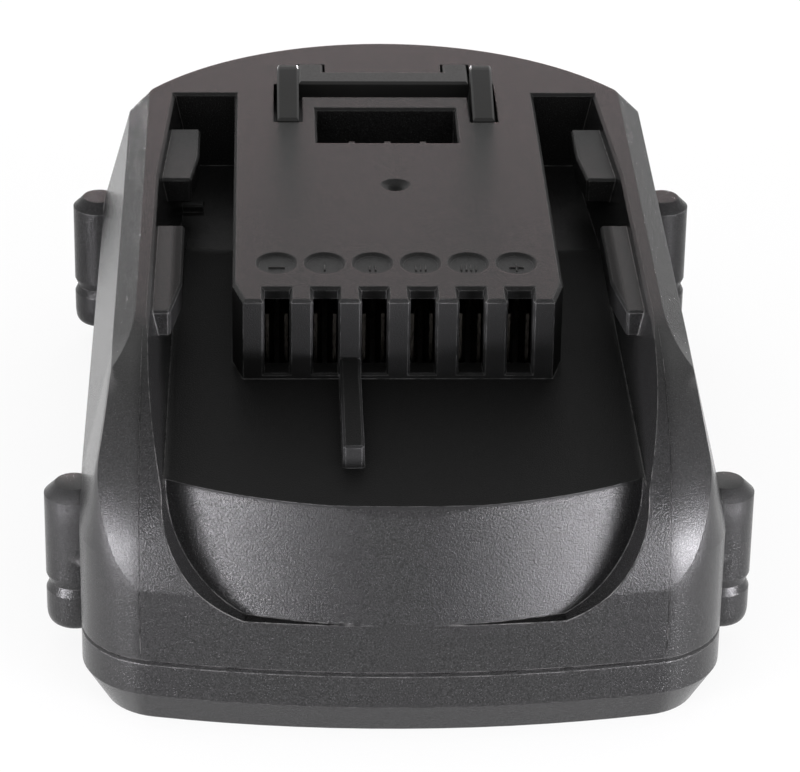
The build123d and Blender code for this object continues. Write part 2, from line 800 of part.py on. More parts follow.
# Lower housing
with BuildPart() as lower_housing:
    with BuildSketch(Plane.XY) as base_face:
        draw_body_outline(base_face, base_inset)
    with BuildSketch(Plane.XY.offset(band_height)) as band_face:
        draw_body_outline(band_face)
    loft(ruled=True)
    with BuildSketch(Plane.XY.offset(band_height)) as band_foot:
        draw_body_outline(band_foot)
    extrude(amount=joint_height - joint_chamfer - band_height)
    with BuildSketch(Plane.XY.offset(joint_height - joint_chamfer)) as rim_foot:
        draw_body_outline(rim_foot)
    with BuildSketch(Plane.XY.offset(joint_height)) as rim_face:
        draw_body_outline(rim_face, joint_chamfer)
    loft(ruled=True)
    with Locations(*[(x, y, joint_height) for x, y in boss_places]):
        add(lower_boss.part)
    # The lip stands up inside the upper housing's wall
    with BuildSketch(Plane.XY.offset(joint_height)) as lip_face:
        draw_body_outline(lip_face, wall + lip_clearance)
    extrude(amount=lip_height)
    with BuildSketch(Plane.XY.offset(base_thickness)) as floor_face:
        draw_body_outline(floor_face, wall + lip_clearance + lip_thickness)
    extrude(amount=joint_height + lip_height, mode=Mode.SUBTRACT)
    with BuildSketch(Plane.XY.offset(-overrun)):
        with Locations(*boss_places):
            Circle(screw_head_radius + screw_head_clearance)
    extrude(amount=screw_seat_height + overrun, mode=Mode.SUBTRACT)
    with BuildSketch(Plane.XY.offset(-overrun)):
        with Locations(*boss_places):
            Circle(screw_radius + screw_clearance)
    extrude(amount=joint_height + overrun * 2, mode=Mode.SUBTRACT)
lower_housing.part.label = "lower_housing"
export_step(lower_housing.part, "parts/lower_housing.step")


def make_screw(shank_radius, shank_length, head_radius, head_height, up=1):
    """A screw seated at height zero, pointing up or down, with a hexagonal recess in its head."""
    with BuildPart() as screw:
        with BuildSketch(Plane.XY):
            Circle(head_radius)
        extrude(amount=-head_height * up)
        with BuildSketch(Plane.XY):
            Circle(shank_radius)
        extrude(amount=shank_length * up)
        with BuildSketch(Plane.XY.offset(-head_height * up)):
            RegularPolygon(head_radius * drive_share, 6)
        extrude(amount=head_height * drive_depth_share * up, mode=Mode.SUBTRACT)
    return screw.part


# Screws, in one set for each place where they are used
housing_screw = make_screw(screw_radius, screw_length, screw_head_radius, screw_head_height)
with BuildPart() as housing_screws:
    with Locations(*[(x, y, screw_seat_height) for x, y in boss_places]):
        add(housing_screw)
housing_screws.part.label = "housing_screws"
export_step(housing_screws.part, "parts/housing_screws.step")

retainer_screw = make_screw(retainer_screw_radius, retainer_screw_length, retainer_head_radius,
                            retainer_head_height)
with BuildPart() as retainer_screws:
    with Locations(*[(x, y, retainer_base) for x, y in retainer_places]):
        add(retainer_screw)
retainer_screws.part.label = "retainer_screws"
export_step(retainer_screws.part, "parts/retainer_screws.step")

board_screw = make_screw(board_screw_radius, board_screw_length, board_screw_head_radius,
                         board_screw_head_height, -1)
with BuildPart() as board_screws:
    with Locations(*[(x, y, board_top) for x, y in post_places]):
        add(board_screw)
board_screws.part.label = "board_screws"
export_step(board_screws.part, "parts/board_screws.step")

# Latch: two ramped hooks and a bar above the deck, rails for the springs and a stem with its wedge
with BuildPart() as latch:
    for side in (-1, 1):
        with BuildSketch(Plane.YZ.offset(side * hook_centre)):
            with BuildLine():
                Polyline((hook_front, latch_base_height), (hook_front, hook_toe_height),
                         (hook_rear - hook_flat, hook_top_height), (hook_rear, hook_top_height),
                         (hook_rear, latch_base_height), close=True)
            make_face()
        extrude(amount=hook_width / 2, both=True)
        with BuildSketch(Plane.XY.offset(latch_base_height)):
            with Locations((side * hook_centre, rail_front)):
                Rectangle(rail_width, rail_rear - rail_front, align=(Align.CENTER, Align.MIN))
        extrude(amount=latch_top - latch_base_height)
        with BuildSketch(Plane.XY.offset(latch_base_height)):
            with Locations((side * (pad_inner + bar_half) / 2, bar_front)):
                Rectangle(bar_half - pad_inner, bar_rear - bar_front, align=(Align.CENTER, Align.MIN))
        extrude(amount=bar_top_height - latch_base_height)
    with BuildSketch(Plane.XY.offset(latch_base_height)):
        with Locations((0, bridge_front)):
            Rectangle(bridge_half * 2, stem_rear - bridge_front, align=(Align.CENTER, Align.MIN))
    extrude(amount=latch_top - latch_base_height)
    with BuildSketch(Plane.XY.offset(latch_base_height)):
        with Locations((0, bar_front)):
            Rectangle(bar_half * 2, bar_middle_rear - bar_front, align=(Align.CENTER, Align.MIN))
    extrude(amount=bar_top_height - latch_base_height)
    with BuildSketch(Plane.YZ):
        with BuildLine():
            Polyline((stem_front, latch_top), (stem_front, stem_foot_height),
                     (stem_rear + wedge_reach - wedge_blunt, stem_foot_height),
                     (stem_rear + wedge_reach - wedge_blunt, stem_foot_height + wedge_blunt),
                     (stem_rear, stem_foot_height + wedge_reach), (stem_rear, latch_top), close=True)
        make_face()
    extrude(amount=stem_half, both=True)
    chamfer(latch.edges().filter_by_position(Axis.Z, hook_toe_height, hook_top_height), latch_bevel)
latch.part.label = "latch"
export_step(latch.part, "parts/latch.step")

# Release button: a cap that follows the rear wall, an inner flange and a nub that meets the wedge
with BuildPart() as release_button:
    with BuildSketch(Plane.XY.offset(button_bottom + button_gap)):
        with Locations((0, bow_centre)):
            Circle(rear_bow_radius - button_sink)
            Circle(rear_bow_radius - wall - flange_clearance - flange_thickness / 2, mode=Mode.SUBTRACT)
    extrude(amount=button_top - button_bottom - button_gap * 2)
    with BuildSketch(Plane.XZ.offset(-rear_end)):
        with Locations((0, (button_bottom + button_top) / 2)):
            RectangleRounded(button_width - button_gap * 2, button_top - button_bottom - button_gap * 2,
                             button_round - button_gap)
    extrude(amount=button_width, mode=Mode.INTERSECT)
    chamfer(release_button.faces().sort_by(Axis.Y)[-1].edges(), button_bevel)
    with BuildSketch(Plane.XY.offset(button_bottom - flange_overlap)):
        with Locations((0, bow_centre)):
            Circle(rear_bow_radius - wall - flange_clearance)
            Circle(rear_bow_radius - wall - flange_clearance - flange_thickness, mode=Mode.SUBTRACT)
        with Locations((0, rear_end)):
            Rectangle(button_width + flange_overlap * 2, button_width, mode=Mode.INTERSECT)
    extrude(amount=button_top - button_bottom + flange_overlap * 2)
    with BuildSketch(Plane.YZ):
        with BuildLine():
            Polyline((nub_face, nub_base_height), (nub_face - nub_contact, nub_base_height + nub_contact),
                     (nub_face - nub_contact, nub_base_height + nub_height),
                     (rear_end - wall - nub_root, nub_base_height + nub_height),
                     (rear_end - wall - nub_root, nub_base_height), close=True)
        make_face()
    extrude(amount=nub_half, both=True)
release_button.part.label = "release_button"
export_step(release_button.part, "parts/release_button.step")

# Plate under the latch, with a notch for the stem and a pin inside each spring
with BuildPart() as latch_retainer:
    with BuildSketch(Plane.XY.offset(retainer_base)):
        with Locations((0, retainer_front)):
            Rectangle(retainer_half_width * 2, retainer_rear - retainer_front, align=(Align.CENTER, Align.MIN))
        with Locations((0, stem_front - stem_guide_gap)):
            Rectangle((stem_half + stem_guide_gap) * 2, overrun * 2, align=(Align.CENTER, Align.MIN),
                      mode=Mode.SUBTRACT)
        with Locations(*retainer_places):
            Circle(retainer_screw_radius + screw_clearance, mode=Mode.SUBTRACT)
    extrude(amount=retainer_thickness)
    with BuildSketch(Plane.XY.offset(retainer_top)):
        with Locations((-spring_x, spring_y), (spring_x, spring_y)):
            Circle(spring_pin_radius)
    extrude(amount=spring_pin_height)
latch_retainer.part.label = "latch_retainer"
export_step(latch_retainer.part, "parts/latch_retainer.step")

# Latch springs, between the plate and the rails
spring_end = spring_wire_radius + spring_clearance
spring_height = latch_base_height - retainer_top - spring_end * 2
for side, name in ((-1, "left"), (1, "right")):
    with BuildPart() as latch_spring:
        with BuildLine(Plane((side * spring_x, spring_y, retainer_top + spring_end))) as coil:
            Helix(spring_height / spring_turns, spring_height, spring_radius)
        with BuildSketch(Plane(coil.line @ 0, z_dir=coil.line % 0)):
            Circle(spring_wire_radius)
        sweep(is_frenet=True)
    latch_spring.part.label = f"latch_spring_{name}"
    export_step(latch_spring.part, f"parts/latch_spring_{name}.step")

# Cells, each with the rolled groove beside its positive end, which faces left and right by turns
for index, place in enumerate(cell_places):
    groove_side = 1 if index % 2 else -1
    with BuildPart() as cell:
        with BuildSketch(Plane.YZ):
            with Locations((place, cell_axis_height)):
                Circle(cell_radius)
        extrude(amount=cell_end, both=True)
        with BuildSketch(Plane.YZ.offset(groove_side * (cell_end - cell_groove_place))):
            with Locations((place, cell_axis_height)):
                Circle(cell_radius + overrun)
                Circle(cell_radius - cell_groove_depth, mode=Mode.SUBTRACT)
        extrude(amount=cell_groove_width / 2, both=True, mode=Mode.SUBTRACT)
    cell.part.label = f"cell_{index + 1}"
    export_step(cell.part, f"parts/cell_{index + 1}.step")

# Frames around the cells' ends, with posts that carry the board
for side, name in ((-1, "left"), (1, "right")):
    with BuildPart() as cell_frame:
        with BuildSketch(Plane.YZ.offset(side * (frame_inner + cell_end) / 2)):
            with Locations(((cell_places[0] + cell_places[-1]) / 2, cell_axis_height)):
                SlotCenterToCenter(cell_places[-1] - cell_places[0], frame_radius * 2)
        extrude(amount=(cell_end - frame_inner) / 2, both=True)
        with BuildSketch(Plane.XY.offset(cell_axis_height)):
            with Locations((side * frame_post_x, frame_post_front), (side * frame_post_x, frame_post_rear)):
                Circle(frame_post_radius)
        extrude(amount=frame_post_top - cell_axis_height)
        with BuildSketch(Plane.YZ.offset(side * (frame_inner + cell_end) / 2)):
            with Locations(*[(place, cell_axis_height) for place in cell_places]):
                Circle(cell_radius + frame_clearance)
        extrude(amount=cell_end, both=True, mode=Mode.SUBTRACT)
        with BuildSketch(Plane.XY.offset(frame_post_top)):
            with Locations((side * frame_post_x, frame_post_front), (side * frame_post_x, frame_post_rear)):
                Circle(board_screw_radius + screw_clearance)
        extrude(amount=-(board_screw_length - board_thickness + pilot_extra), mode=Mode.SUBTRACT)
    cell_frame.part.label = f"cell_frame_{name}"
    export_step(cell_frame.part, f"parts/cell_frame_{name}.step")

# Link strips: each link joins two neighbouring cells, on the left and on the right by turns, and an
# end strip serves the first and the last cell. Each sends a tail up to the board, as near as it can.
strips = [("negative_strip", 1, 0, 0)]
for index in range(cell_count - 1):
    strips.append((f"link_strip_{'right' if index % 2 else 'left'}_{'abcdefgh'[index // 2]}",
                   1 if index % 2 else -1, index, index + 1))
strips.append(("positive_strip", -1 if cell_count % 2 else 1, cell_count - 1, cell_count - 1))
for name, side, first, last in strips:
    low = cell_axis_height - strip_height / 2
    high = cell_axis_height + strip_height / 2
    tail_place = (cell_places[first] + cell_places[last]) / 2
    tail_place = min(max(tail_place, board_front + tail_inset), board_rear - tail_inset)
    strip_front = min(cell_places[first] - strip_overhang, tail_place - tail_width / 2)
    strip_rear = cell_places[last] + strip_overhang
    with BuildPart() as strip:
        with BuildSketch(Plane.YZ.offset(side * (cell_end + strip_thickness / 2))):
            if name == "negative_strip":
                strip_front = cell_places[first] - strip_overhang
                with Locations((strip_front, crossover_top)):
                    Rectangle(crossover_rear - strip_front, crossover_height, align=(Align.MIN, Align.MAX))
                with Locations((strip_front, low)):
                    Rectangle(strip_overhang * 2, crossover_top - low, align=(Align.MIN, Align.MIN))
                high = crossover_top - crossover_height
            else:
                with Locations((strip_front, low)):
                    Rectangle(strip_rear - strip_front, strip_height, align=(Align.MIN, Align.MIN))
            with Locations((tail_place, high)):
                Rectangle(tail_width, board_top + strip_thickness - high, align=(Align.CENTER, Align.MIN))
        extrude(amount=strip_thickness / 2, both=True)
        with BuildSketch(Plane.XY.offset(board_top)):
            with Locations((side * (strip_face - tail_reach / 2), tail_place)):
                Rectangle(tail_reach, tail_width)
        extrude(amount=strip_thickness)
    strip.part.label = name
    export_step(strip.part, f"parts/{name}.step")

# Insulating sheets over the strips
for side, name in ((-1, "left"), (1, "right")):
    with BuildPart() as sheet:
        with BuildSketch(Plane.YZ.offset(side * (strip_face + sheet_thickness / 2))):
            with Locations(((cell_places[0] + cell_places[-1]) / 2, cell_axis_height)):
                SlotCenterToCenter(cell_places[-1] - cell_places[0], (frame_radius - sheet_margin) * 2)
        extrude(amount=sheet_thickness / 2, both=True)
    sheet.part.label = f"insulating_sheet_{name}"
    export_step(sheet.part, f"parts/insulating_sheet_{name}.step")

# Circuit board on the frames' posts
with BuildPart() as circuit_board:
    with BuildSketch(Plane.XY.offset(board_base)):
        with Locations((0, (board_front + board_rear) / 2)):
            RectangleRounded(board_width, board_length, board_corner)
        with Locations(*post_places):
            Circle(board_screw_radius + screw_clearance, mode=Mode.SUBTRACT)
    extrude(amount=board_thickness)
circuit_board.part.label = "circuit_board"
export_step(circuit_board.part, "parts/circuit_board.step")

# Terminal carrier: six pockets, open to the front and the top
with BuildPart() as terminal_carrier:
    with BuildSketch(Plane.XY.offset(board_top)):
        with Locations((0, carrier_front)):
            Rectangle(carrier_half_width * 2, carrier_rear - carrier_front, align=(Align.CENTER, Align.MIN))
    extrude(amount=carrier_top - board_top)
    with BuildSketch(Plane.XY.offset(board_top + carrier_floor)):
        with Locations(*[(x, carrier_rear - carrier_back) for x in slot_places]):
            Rectangle(slot_pitch - carrier_rib, carrier_rear - carrier_front, align=(Align.CENTER, Align.MAX))
    extrude(amount=carrier_top, mode=Mode.SUBTRACT)
    with BuildSketch(Plane.XY.offset(board_top)):
        with Locations(*[(x, contact_back - contact_pin_clearance) for x in slot_places]):
            Rectangle((contact_pin_half + contact_pin_clearance) * 2,
                      contact_thickness + contact_pin_clearance * 2, align=(Align.CENTER, Align.MIN))
    extrude(amount=carrier_floor, mode=Mode.SUBTRACT)
terminal_carrier.part.label = "terminal_carrier"
export_step(terminal_carrier.part, "parts/terminal_carrier.step")

# Spring contacts: two leaves that pinch together towards the front, joined at the back
pinch_y = contact_front + (contact_back - contact_front) * contact_pinch_share
for index, place in enumerate(slot_places):
    with BuildPart() as terminal:
        with BuildSketch(Plane.XY.offset(board_top + carrier_floor)):
            for side in (-1, 1):
                inner = place + side * contact_half_gap
                outer = inner + side * contact_thickness
                pinch = place + side * contact_pinch
                with BuildLine():
                    Polyline((inner, contact_front), (pinch, pinch_y), (inner, contact_back),
                             (outer, contact_back), (pinch + side * contact_thickness, pinch_y),
                             (outer, contact_front), close=True)
                make_face()
            with Locations((place, contact_back)):
                Rectangle((contact_half_gap + contact_thickness) * 2, contact_thickness,
                          align=(Align.CENTER, Align.MIN))
        extrude(amount=contact_top - board_top - carrier_floor)
        with BuildSketch(Plane.XY.offset(board_top)):
            with Locations((place, contact_back)):
                Rectangle(contact_pin_half * 2, contact_thickness, align=(Align.CENTER, Align.MIN))
        extrude(amount=carrier_floor)
    terminal.part.label = f"terminal_{index + 1}"
    export_step(terminal.part, f"parts/terminal_{index + 1}.step")

# Parts soldered to the board
with BuildPart() as controller_chip:
    with BuildSketch(Plane.XY.offset(board_top)):
        with Locations((chip_x, chip_y)):
            Rectangle(chip_width, chip_width)
    extrude(amount=chip_height)
    chamfer(controller_chip.faces().sort_by(Axis.Z)[-1].edges(), part_round)
controller_chip.part.label = "controller_chip"
export_step(controller_chip.part, "parts/controller_chip.step")

with BuildPart() as power_transistors:
    with BuildSketch(Plane.XY.offset(board_top)):
        with Locations((-transistor_pitch / 2, transistor_y), (transistor_pitch / 2, transistor_y)):
            Rectangle(transistor_width, transistor_length)
    extrude(amount=transistor_height)
    with BuildSketch(Plane.XY.offset(board_top)):
        with Locations((-transistor_pitch / 2, transistor_y + transistor_length / 2),
                       (transistor_pitch / 2, transistor_y + transistor_length / 2)):
            Rectangle(transistor_width, transistor_tab, align=(Align.CENTER, Align.MIN))
    extrude(amount=transistor_tab_thickness)
power_transistors.part.label = "power_transistors"
export_step(power_transistors.part, "parts/power_transistors.step")

with BuildPart() as fuse:
    with BuildSketch(Plane.XY.offset(board_top)):
        with Locations((fuse_x, fuse_y)):
            Rectangle(fuse_width, fuse_length)
    extrude(amount=fuse_height)
    fillet(fuse.edges().filter_by(Axis.Z), part_round)
fuse.part.label = "fuse"
export_step(fuse.part, "parts/fuse.step")

# Temperature bead in the valley between the third and fourth cells, with two leads to the board
bead_reach = cell_radius + bead_radius + bead_gap
bead_height = cell_axis_height + sqrt(bead_reach**2 - (cell_pitch / 2)**2)
bead_place = (cell_places[cell_count // 2] + cell_places[cell_count // 2 + 1]) / 2
with BuildPart() as temperature_sensor:
    with Locations((bead_x, bead_place, bead_height)):
        Sphere(bead_radius, rotation=(90, 0, 0))
    with BuildSketch(Plane.XY.offset(bead_height)):
        with Locations((bead_x, bead_place)):
            with GridLocations(bead_lead_half_spacing * 2, 0, 2, 1):
                Circle(bead_lead_radius)
    extrude(amount=board_base - bead_height)
temperature_sensor.part.label = "temperature_sensor"
export_step(temperature_sensor.part, "parts/temperature_sensor.step")

# Foam pad between the cells and the board
with BuildPart() as foam_pad:
    with BuildSketch(Plane.XY.offset(cell_axis_height + cell_radius + pad_clearance)):
        with Locations((0, pad_centre)):
            RectangleRounded(pad_width, pad_length, pad_round)
    extrude(amount=board_base - cell_axis_height - cell_radius - pad_clearance * 2)
foam_pad.part.label = "foam_pad"
export_step(foam_pad.part, "parts/foam_pad.step")
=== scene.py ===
from math import cos, radians, sin

import bpy
import numpy as np
from mathutils import Matrix, Vector


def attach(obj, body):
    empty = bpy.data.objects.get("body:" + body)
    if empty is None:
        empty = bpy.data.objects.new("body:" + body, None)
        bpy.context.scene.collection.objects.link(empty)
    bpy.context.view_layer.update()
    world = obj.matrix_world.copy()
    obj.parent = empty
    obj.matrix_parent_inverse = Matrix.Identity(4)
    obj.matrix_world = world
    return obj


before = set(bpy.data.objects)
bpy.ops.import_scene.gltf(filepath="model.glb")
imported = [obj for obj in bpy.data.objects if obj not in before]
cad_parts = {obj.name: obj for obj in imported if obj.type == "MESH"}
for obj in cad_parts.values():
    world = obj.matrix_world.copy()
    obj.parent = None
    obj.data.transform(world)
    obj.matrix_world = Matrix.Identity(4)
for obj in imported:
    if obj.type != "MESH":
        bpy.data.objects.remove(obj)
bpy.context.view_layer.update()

# A slide-on battery pack in dark grained plastic: two housings, a latch and a release button
# outside, cells, strips and a board inside. Scene units are metres, and values that end in Mm are
# millimetres.
mm = 0.001
scene = bpy.context.scene


# Camera and light

cameraView = {
    "placeMm": (-16.40, -448.94, 243.67),
    "focalPixels": 3900.8,  # for a picture 800 pixels wide
    "pictureWidth": 800,
    "sensor": 36.0,
    "pitch": 27.016,
    "yaw": 2.261,
    "roll": 0.969,
}


def placeCamera(values):
    # forward = (sin yaw cos pitch, cos yaw cos pitch, -sin pitch). Right and up turn by the roll:
    # right = level cos roll + rise sin roll, up = rise cos roll - level sin roll
    pitch = radians(values["pitch"])
    yaw = radians(values["yaw"])
    roll = radians(values["roll"])
    forward = Vector((sin(yaw) * cos(pitch), cos(yaw) * cos(pitch), -sin(pitch)))
    level = Vector((cos(yaw), -sin(yaw), 0))
    rise = level.cross(forward)
    right = level * cos(roll) + rise * sin(roll)
    up = rise * cos(roll) - level * sin(roll)
    data = bpy.data.cameras.new("photoCamera")
    data.sensor_fit = "HORIZONTAL"
    data.sensor_width = values["sensor"]
    data.lens = values["focalPixels"] / values["pictureWidth"] * values["sensor"]
    data.clip_start = 0.01
    data.clip_end = 50
    camera = bpy.data.objects.new("photoCamera", data)
    turn = Matrix((right, up, -forward)).transposed().to_4x4()
    camera.matrix_world = Matrix.Translation(Vector(values["placeMm"]) * mm) @ turn
    scene.collection.objects.link(camera)
    scene.camera = camera


studio = {
    "aimMm": (0, -5, 20),
    "ambient": 0.9,
    "floorHeightMm": -0.05,
    "floorHalf": 4.0,
    "floorGrey": (0.9, 0.9, 0.9, 1),
    "floorRoughness": 0.9,
    "floorGlow": 0.85,  # share of the floor's own white that the camera sees whatever the light
    # name: azimuth (0 in front, 90 on the right) and elevation seen from the pack, distance, width,
    # height, watts and colour. Low strips on both sides light the noses and the scoop.
    "panels": {
        "left40": (-40, -1.5, 0.30, 0.06, 0.022, 0.80, (0.97, 0.95, 1.0)),
        "left50": (-50, -1.5, 0.30, 0.06, 0.022, 1.60, (0.97, 0.95, 1.0)),
        "right40": (40, -1.5, 0.30, 0.06, 0.022, 0.92, (0.97, 0.95, 1.0)),
        "right50": (50, -1.5, 0.30, 0.06, 0.022, 1.40, (0.97, 0.95, 1.0)),
        "leftNear": (-30, 1.5, 0.36, 0.07, 0.02, 0.42, (0.96, 0.96, 1.0)),
        "rightNear": (30, 1.5, 0.36, 0.07, 0.02, 0.50, (0.96, 0.96, 1.0)),
        "rightSide": (40, 1.5, 0.36, 0.07, 0.02, 0.48, (0.96, 0.95, 1.0)),
        "rear": (180, 4, 0.40, 0.20, 0.06, 0.04, (1.0, 0.45, 0.48)),
        "rearLow": (180, -1.5, 0.32, 0.16, 0.022, 1.0, (0.99, 0.97, 1.0)),
    },
}


def placePanels(values):
    # place = aim + distance (sin azimuth cos elevation, -cos azimuth cos elevation, sin elevation)
    aim = Vector(values["aimMm"]) * mm
    for name, panel in values["panels"].items():
        azimuth, elevation, distance, width, height, watts, colour = panel
        turn = radians(azimuth)
        rise = radians(elevation)
        away = Vector((sin(turn) * cos(rise), -cos(turn) * cos(rise), sin(rise)))
        data = bpy.data.lights.new(name, "AREA")
        data.shape = "RECTANGLE"
        data.size = width
        data.size_y = height
        data.energy = watts
        data.color = colour
        lamp = bpy.data.objects.new(name, data)
        lamp.location = aim + away * distance
        lamp.rotation_euler = away.to_track_quat("Z", "Y").to_euler()
        lamp.visible_camera = False
        scene.collection.objects.link(lamp)


# Shader building

# Most values of a noise lie between these two
noiseBand = (0.3, 0.7)


class Num:
    # Wraps a socket, so that sums and products of values add their Math nodes
    def __init__(self, finish, socket):
        self.finish = finish
        self.socket = socket

    def math(self, operation, *others):
        inputs = dict(enumerate((self,) + others))
        return self.finish.node("ShaderNodeMath", {"operation": operation}, inputs)

    def __add__(self, other):
        return self.math("ADD", other)

    def __sub__(self, other):
        return self.math("SUBTRACT", other)

    def __mul__(self, other):
        return self.math("MULTIPLY", other)

    def __rsub__(self, other):
        return self.finish.node("ShaderNodeMath", {"operation": "SUBTRACT"}, {0: other, 1: self})

    __radd__ = __add__
    __rmul__ = __mul__


class Finish:
    # One material: its Principled shader, and the one method that adds every other node
    def __init__(self, name, tree=None):
        if tree is None:
            self.material = bpy.data.materials.new(name)
            self.material.use_nodes = True
            tree = self.material.node_tree
            self.shader = tree.nodes["Principled BSDF"]
        self.tree = tree

    def join(self, made, key, value):
        if isinstance(value, Num):
            self.tree.links.new(value.socket, made.inputs[key])
        else:
            made.inputs[key].default_value = value

    def node(self, kind, settings=None, inputs=None, output=0):
        # Settings are attributes of the node. They go first, as some of them change its sockets
        made = self.tree.nodes.new(kind)
        for key, value in (settings or {}).items():
            setattr(made, key, value)
        for key, value in (inputs or {}).items():
            self.join(made, key, value)
        return Num(self, made.outputs[output])

    def placeMm(self):
        # Object coordinates in millimetres
        coords = self.node("ShaderNodeTexCoord", output="Object")
        return self.node("ShaderNodeMapping", None, {"Vector": coords, "Scale": (1 / mm,) * 3})

    def stretched(self, vector, scale):
        # Coordinates scaled by axis, so that a pattern runs along the axis with the smallest scale
        return self.node("ShaderNodeMapping", None, {"Vector": vector, "Scale": scale})

    def axes(self, vector):
        # The three numbers of a vector
        made = self.node("ShaderNodeSeparateXYZ", None, {0: vector})
        return [Num(self, output) for output in made.socket.node.outputs]

    def noise(self, vector, scale, detail=2.0, roughness=0.5):
        # Soft noise with so many patches per millimetre
        inputs = {"Vector": vector, "Scale": scale, "Detail": detail, "Roughness": roughness}
        return self.node("ShaderNodeTexNoise", None, inputs)

    def cells(self, vector, scale, metric="EUCLIDEAN"):
        # Distance to the nearest of scattered points, with so many points per millimetre
        inputs = {"Vector": vector, "Scale": scale}
        return self.node("ShaderNodeTexVoronoi", {"distance": metric}, inputs, "Distance")

    def fade(self, value, low, high, start=0.0, end=1.0):
        # Smooth rise from start to end while value goes from low to high
        return self.node("ShaderNodeMapRange", {"interpolation_type": "SMOOTHSTEP"},
                         {"Value": value, "From Min": low, "From Max": high,
                          "To Min": start, "To Max": end})

    def above(self, value, limit, edge):
        # 1 above the limit and 0 below it, changing over the edge on both sides
        return self.fade(value, limit - edge, limit + edge)

    def below(self, value, limit, edge):
        return self.fade(value, limit - edge, limit + edge, 1, 0)

    def within(self, value, low, high, edge):
        # 1 between low and high, 0 outside
        return self.above(value, low, edge) * self.below(value, high, edge)

    def blend(self, factor, first, second):
        # Colour from first to second; the types of Mix share its socket names, so they go by number
        inputs = {0: factor, 6: first, 7: second}
        return self.node("ShaderNodeMix", {"data_type": "RGBA"}, inputs, 2)

    def bump(self, height, depthMm, normal=None):
        # Normal of a surface raised by height times depth
        inputs = {"Height": height, "Distance": depthMm * mm}
        if normal is not None:
            inputs["Normal"] = normal
        return self.node("ShaderNodeBump", None, inputs)

    def softEdges(self, radius, samples=6):
        # Normals that turn softly over each edge, as wide as the radius
        return self.node("ShaderNodeBevel", {"samples": samples}, {"Radius": radius})

    def mixIn(self, factor, other):
        # Surface = own shader * (1 - factor) + other * factor
        own = Num(self, self.shader.outputs[0])
        mixed = self.node("ShaderNodeMixShader", None, {0: factor, 1: own, 2: other})
        self.tree.links.new(mixed.socket, self.tree.nodes["Material Output"].inputs["Surface"])
        return self.material

    def finishWith(self, **sockets):
        # Sockets of the Principled shader, with the spaces left out of their names
        names = {socket.name.replace(" ", ""): socket.name for socket in self.shader.inputs}
        for key, value in sockets.items():
            self.join(self.shader, names[key], value)
        return self.material


def shade(level, warmth=0.0):
    # A grey with some red (warmth above 0) or some blue (below 0) in it
    return (level * (1 + warmth), level, level * (1 - warmth), 1)


# Finishes of the outside

housingFinish = {
    "grey": 0.0084,
    "warmth": 0.0,
    "grainPerMm": 5.2,
    "grainDepthMm": 0.068,
    "grainDetail": 2,
    "grainShare": 0.6,
    "mottle": 1.5,  # grey is divided by this in the grain's hollows, and multiplied on its peaks
    "speckPerMm": 3.4,
    "speckReach": (0.05, 0.22),
    "speckGrey": 0.040,
    "speckBase": 0.4,
    "speckRise": 0.5,
    "cloudPerMm": 0.09,
    "cloudDetail": 2,
    "rubPerMm": 0.7,
    "rubDetail": 3,
    "rubBand": (0.3, 0.62),
    # 1 - cosine of the turn from which an edge gets its paler colour (rubbed wear and painted
    # highlight), and from which it does so fully
    "edgeTurn": (0.015, 0.16),
    "wearGrey": 0.11,
    "wearWarmth": 0.02,
    "wear": 0.75,
    "specular": 0.118,
    "roughness": 0.19,
    "roughnessSpread": 0.05,
    "roughnessBand": (0.35, 0.65),
    "edgeMm": 0.28,
    # the outer corners of the noses are rounder than the other edges
    "noseEdgeMm": 4.5,
    "noseBackMm": -36.0,
    "noseInsideMm": 31.0,
    "noseFootMm": 13.0,
    "noseTopMm": 37.6,
    "noseSideFadeMm": 1.0,
    "noseBackFadeMm": 4.0,
    # hands rub the outer front corners smooth
    "polish": 0.33,
    "polishRoughness": 0.3,
    # the tray and the front of the terminal block get a darker, less reflective shader: painted
    # shade of the recess
    "trayHalfMm": 27.5,
    "trayFloorMm": 28.9,
    "trayTopMm": 39.3,
    "trayRearMm": 10.0,
    "trayFloorFadeMm": 0.15,
    "traySideFadeMm": 0.5,
    "trayRearFadeMm": 1.0,
    "trayGrey": 0.008,
    "traySpecular": 0.045,
    "trayRoughness": 0.45,
}


